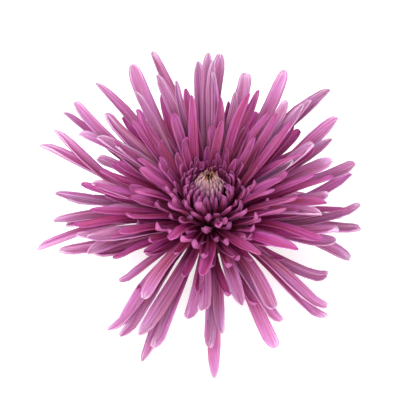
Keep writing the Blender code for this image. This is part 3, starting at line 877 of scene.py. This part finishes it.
pick_underside(cup)
bpy.ops.transform.resize(value=(CUP_FOOT_SHARE, CUP_FOOT_SHARE, 1))
bpy.ops.object.mode_set(mode="OBJECT")
bpy.ops.object.transform_apply(location=True, rotation=True, scale=True)
rounded = cup.modifiers.new("Round the rims", "BEVEL")
rounded.width = CUP_RIM_ROUNDING
rounded.segments = 3
bpy.ops.object.modifier_apply(modifier=rounded.name)
bpy.ops.object.shade_smooth_by_angle(angle=math.radians(50))

BRACT_LENGTH = 8 * MM
BRACT_WIDTH = 2.9 * MM
BRACT_LEAF_ROWS = (
    (0.00, 0.80, 0.30), (0.30, 0.98, 0.34), (0.55, 1.00, 0.36),
    (0.75, 0.80, 0.40), (0.90, 0.46, 0.40), (1.00, 0.12, 0.30),
)
bract_pattern = petal_pattern("bract_pattern", BRACT_LENGTH, BRACT_WIDTH, BRACT_LEAF_ROWS)
# Rows of bracts: how many, radius and height of the root, radius and height of the tip, mm
# from the hub
BRACT_ROWS = (
    (13, 9.0, -4.1, 11.6, -4.0), (13, 7.7, -5.6, 10.4, -5.5), (10, 5.6, -7.0, 8.4, -7.0),
)
BRACT_ROOT_SUNK = 2.2
BRACT_SAG = 1.0 * MM
BRACT_AZIMUTH_SPREAD = 0.10
BRACT_HOOK = 0.1
bracts = []
chance = random.Random(SEED)
for row, (count, root_out, root_height, tip_out, tip_height) in enumerate(BRACT_ROWS):
    for place in range(count):
        wander = chance.uniform(-BRACT_AZIMUTH_SPREAD, BRACT_AZIMUTH_SPREAD)
        azimuth = math.tau * (place + 0.5 * (row % 2) + wander) / count
        outward = Vector((math.cos(azimuth), math.sin(azimuth), 0))
        root = outward * (root_out - BRACT_ROOT_SUNK) * MM + Vector((0, 0, root_height * MM))
        tip = outward * tip_out * MM + Vector((0, 0, tip_height * MM))
        handle = (root + tip) / 2 - Vector((0, 0, BRACT_SAG))
        spine = (root, handle, tip, Vector((-outward.y, outward.x, 0)), 0.0)
        own_chance = random.Random(60 * row + place)
        bracts.append(
            grown(
                bract_pattern, BRACT_LENGTH, BRACT_WIDTH, spine, BRACT_WIDTH, own_chance,
                BRACT_HOOK,
            )
        )

MOTTLE_A_METRE = 420.0
MOTTLE_DETAIL = 4.0
MOTTLE_BUMP = 0.3
MOTTLE_RELIEF = 0.15 * MM
LEAF_COLOURS = ((0.3, (0.075, 0.130, 0.030)), (0.7, (0.210, 0.310, 0.090)))
PAPERY_COLOUR = (0.420, 0.320, 0.190, 1)
PAPERY_EDGE = (0.36, 0.48)


def leaf_finish(name, edge_share):
    """Matte mottled green, with a papery brown edge where edge_share is above 0."""
    finish = bpy.data.materials.new(name)
    finish.use_nodes = True
    nodes, wire = finish.node_tree.nodes, finish.node_tree.links.new
    shader = nodes["Principled BSDF"]
    place = nodes.new("ShaderNodeTexCoord")
    mottle = nodes.new("ShaderNodeTexNoise")
    mottle.inputs["Scale"].default_value = MOTTLE_A_METRE
    mottle.inputs["Detail"].default_value = MOTTLE_DETAIL
    green = ramp_node(nodes, LEAF_COLOURS)
    apart = nodes.new("ShaderNodeSeparateXYZ")
    from_middle = math_node(nodes, "SUBTRACT", 0.5)
    distance = math_node(nodes, "ABSOLUTE")
    papery = spread_node(nodes, (0.0, edge_share), PAPERY_EDGE)
    edged = nodes.new("ShaderNodeMix")
    edged.data_type = "RGBA"
    edged.inputs["B"].default_value = PAPERY_COLOUR
    bump = bump_node(nodes, MOTTLE_BUMP, MOTTLE_RELIEF)
    wire(place.outputs["Object"], mottle.inputs["Vector"])
    wire(mottle.outputs["Fac"], green.inputs["Fac"])
    wire(place.outputs["UV"], apart.inputs[0])
    wire(apart.outputs["X"], from_middle.inputs[0])
    wire(from_middle.outputs[0], distance.inputs[0])
    wire(distance.outputs[0], papery.inputs["Value"])
    wire(papery.outputs["Result"], edged.inputs["Factor"])
    wire(green.outputs["Color"], edged.inputs["A"])
    wire(edged.outputs["Result"], shader.inputs["Base Color"])
    wire(mottle.outputs["Fac"], bump.inputs["Height"])
    wire(bump.outputs["Normal"], shader.inputs["Normal"])
    shader.inputs["Roughness"].default_value = 0.6
    return finish


bract_leaf = leaf_finish("bract_leaf", 0.8)
cup_green = leaf_finish("cup_green", 0.0)
bract_leaves = gathered("bracts", bracts, bract_leaf, bract_leaf)
cup.data.materials.append(cup_green)
for piece in (bract_leaves, cup):
    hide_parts("involucre")
    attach(piece, "root")


# Stem: a short stub of the green flower stalk, with seven raised ribs, flared under the cup,
# and with a pale pith sunk a little into its cut end.
STEM_RADIUS = 2.3 * MM
STEM_SIDES = 42
STEM_RIB_EVERY = 6
STEM_RIB_WIDENING = 1.08
STEM_RIB_HALF_ANGLE = 0.05
# The flare: share of the stem's height, and how much wider it is there
STEM_FLARE = ((0.80, 1.06), (0.90, 1.22), (1.0, 1.35))
STEM_RING_SLACK = 0.02 * MM
PITH_INSET = 0.5 * MM
PITH_SUNK = 0.15 * MM
bpy.ops.object.select_all(action="DESELECT")
stem_length = stem_high[2] - stem_low[2]
bpy.ops.mesh.primitive_cylinder_add(
    vertices=STEM_SIDES,
    radius=STEM_RADIUS,
    depth=stem_length,
    location=(hub.x, hub.y, (stem_high[2] + stem_low[2]) / 2),
)
stem = bpy.context.object
stem.name = "cut_stem"
bpy.ops.object.transform_apply(location=True, rotation=True, scale=True)
bpy.ops.object.mode_set(mode="EDIT")
for share, widening in STEM_FLARE:
    height = stem_low[2] + share * stem_length
    if share < 1:
        bpy.ops.mesh.select_all(action="SELECT")
        bpy.ops.mesh.bisect(plane_co=(0, 0, height), plane_no=(0, 0, 1))
    pick(stem, lambda co: abs(co.z - height) < STEM_RING_SLACK)
    bpy.ops.transform.resize(value=(widening, widening, 1), center_override=(hub.x, hub.y, 0))


def off_angle(co, angle):
    """How far round the stem a point lies from that angle."""
    return abs(math.remainder(math.atan2(co.x - hub.x, co.y - hub.y) - angle, math.tau))


for rib in range(0, STEM_SIDES, STEM_RIB_EVERY):
    rib_angle = math.tau * rib / STEM_SIDES
    pick(stem, lambda co: off_angle(co, rib_angle) < STEM_RIB_HALF_ANGLE)
    bpy.ops.transform.resize(
        value=(STEM_RIB_WIDENING, STEM_RIB_WIDENING, 1), center_override=(hub.x, hub.y, 0)
    )
bpy.ops.mesh.select_all(action="DESELECT")
pick_underside(stem)
bpy.ops.mesh.inset(thickness=PITH_INSET)
bpy.ops.transform.translate(value=(0, 0, PITH_SUNK))
bpy.ops.mesh.inset(thickness=PITH_INSET)
bpy.ops.object.mode_set(mode="OBJECT")
bpy.ops.object.shade_smooth_by_angle(angle=math.radians(45))
stem.data.materials.append(leaf_finish("stem_green_skin", 0.0))
CELLS_A_METRE = 2400.0
PITH_COLOURS = ((0.0, (0.420, 0.470, 0.260)), (1.0, (0.640, 0.680, 0.460)))
stem.data.materials.append(
    speckled_finish(
        "stem_pith", "ShaderNodeTexVoronoi", "Distance", CELLS_A_METRE, PITH_COLOURS, 0.7
    )
)
for face in stem.data.polygons:
    face.material_index = 1 if face.normal.z < FACING_DOWN else 0
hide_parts("stem")
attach(stem, "root")

# The patterns that petals, disc tips and bracts were copied from are no longer needed
for pattern in (
    blunt_pattern, pinched_pattern, notched_pattern, quill_pattern, young_pattern, tip_pattern,
    bract_pattern,
):
    bpy.data.objects.remove(pattern)


# Studio: a plain white floor, a soft key light high on the left, a broad fill light low in
# front, and an even white surround.
FLOOR_SIZE = 6
FLOOR_WHITE = (0.93, 0.93, 0.93, 1)
FLOOR_GLOW = 0.45
SURROUND_STRENGTH = 1.05
WHITE = (1, 1, 1, 1)
bpy.ops.object.select_all(action="DESELECT")
bpy.ops.mesh.primitive_plane_add(size=FLOOR_SIZE, location=(0, 0, floor_height))
floor = bpy.context.object
floor.name = "floor"
floor_white = bpy.data.materials.new("floor_white")
floor_white.use_nodes = True
floor_shader = floor_white.node_tree.nodes["Principled BSDF"]
floor_shader.inputs["Base Color"].default_value = FLOOR_WHITE
floor_shader.inputs["Roughness"].default_value = 0.9
floor_shader.inputs["Emission Color"].default_value = WHITE
floor_shader.inputs["Emission Strength"].default_value = FLOOR_GLOW
floor.data.materials.append(floor_white)

studio = bpy.data.worlds.new("studio")
studio.use_nodes = True
surround = studio.node_tree.nodes["Background"]
surround.inputs["Color"].default_value = WHITE
surround.inputs["Strength"].default_value = SURROUND_STRENGTH
bpy.context.scene.world = studio


def soft_light(name, place, size, power):
    """A square area light aimed at the bloom."""
    lamp = bpy.data.lights.new(name, "AREA")
    lamp.size = size
    lamp.energy = power
    light = bpy.data.objects.new(name, lamp)
    light.location = place
    light.rotation_euler = (hub - Vector(place)).to_track_quat("-Z", "Y").to_euler()
    bpy.context.scene.collection.objects.link(light)


soft_light("key", place=(-0.25, -0.20, 0.60), size=0.35, power=2.5)
soft_light("fill", place=(0.12, -0.70, 0.42), size=0.5, power=3.4)

# Camera: a long lens, 50 degrees above the floor, framed as the photograph is
MM_PER_PIXEL = 0.364
HUB_PIXEL = (209, 223)
PICTURE_MIDDLE = (201, 201)
PICTURE_SIDE = 402
lens = bpy.data.cameras.new("camera")
lens.lens = 200
lens.sensor_width = 36
lens.clip_end = 20
distance = PICTURE_SIDE * MM_PER_PIXEL * MM * lens.lens / lens.sensor_width
toward = Vector((0, -math.cos(VIEW_RISE), math.sin(VIEW_RISE)))
up_picture = Vector((0, math.sin(VIEW_RISE), math.cos(VIEW_RISE)))
aim = hub + Vector((1, 0, 0)) * (PICTURE_MIDDLE[0] - HUB_PIXEL[0]) * MM_PER_PIXEL * MM
aim += up_picture * (HUB_PIXEL[1] - PICTURE_MIDDLE[1]) * MM_PER_PIXEL * MM
camera = bpy.data.objects.new("camera", lens)
camera.location = aim + toward * distance
camera.rotation_euler = (-toward).to_track_quat("-Z", "Y").to_euler()
bpy.context.scene.collection.objects.link(camera)
bpy.context.scene.camera = camera
bpy.context.scene.view_settings.view_transform = "Standard"
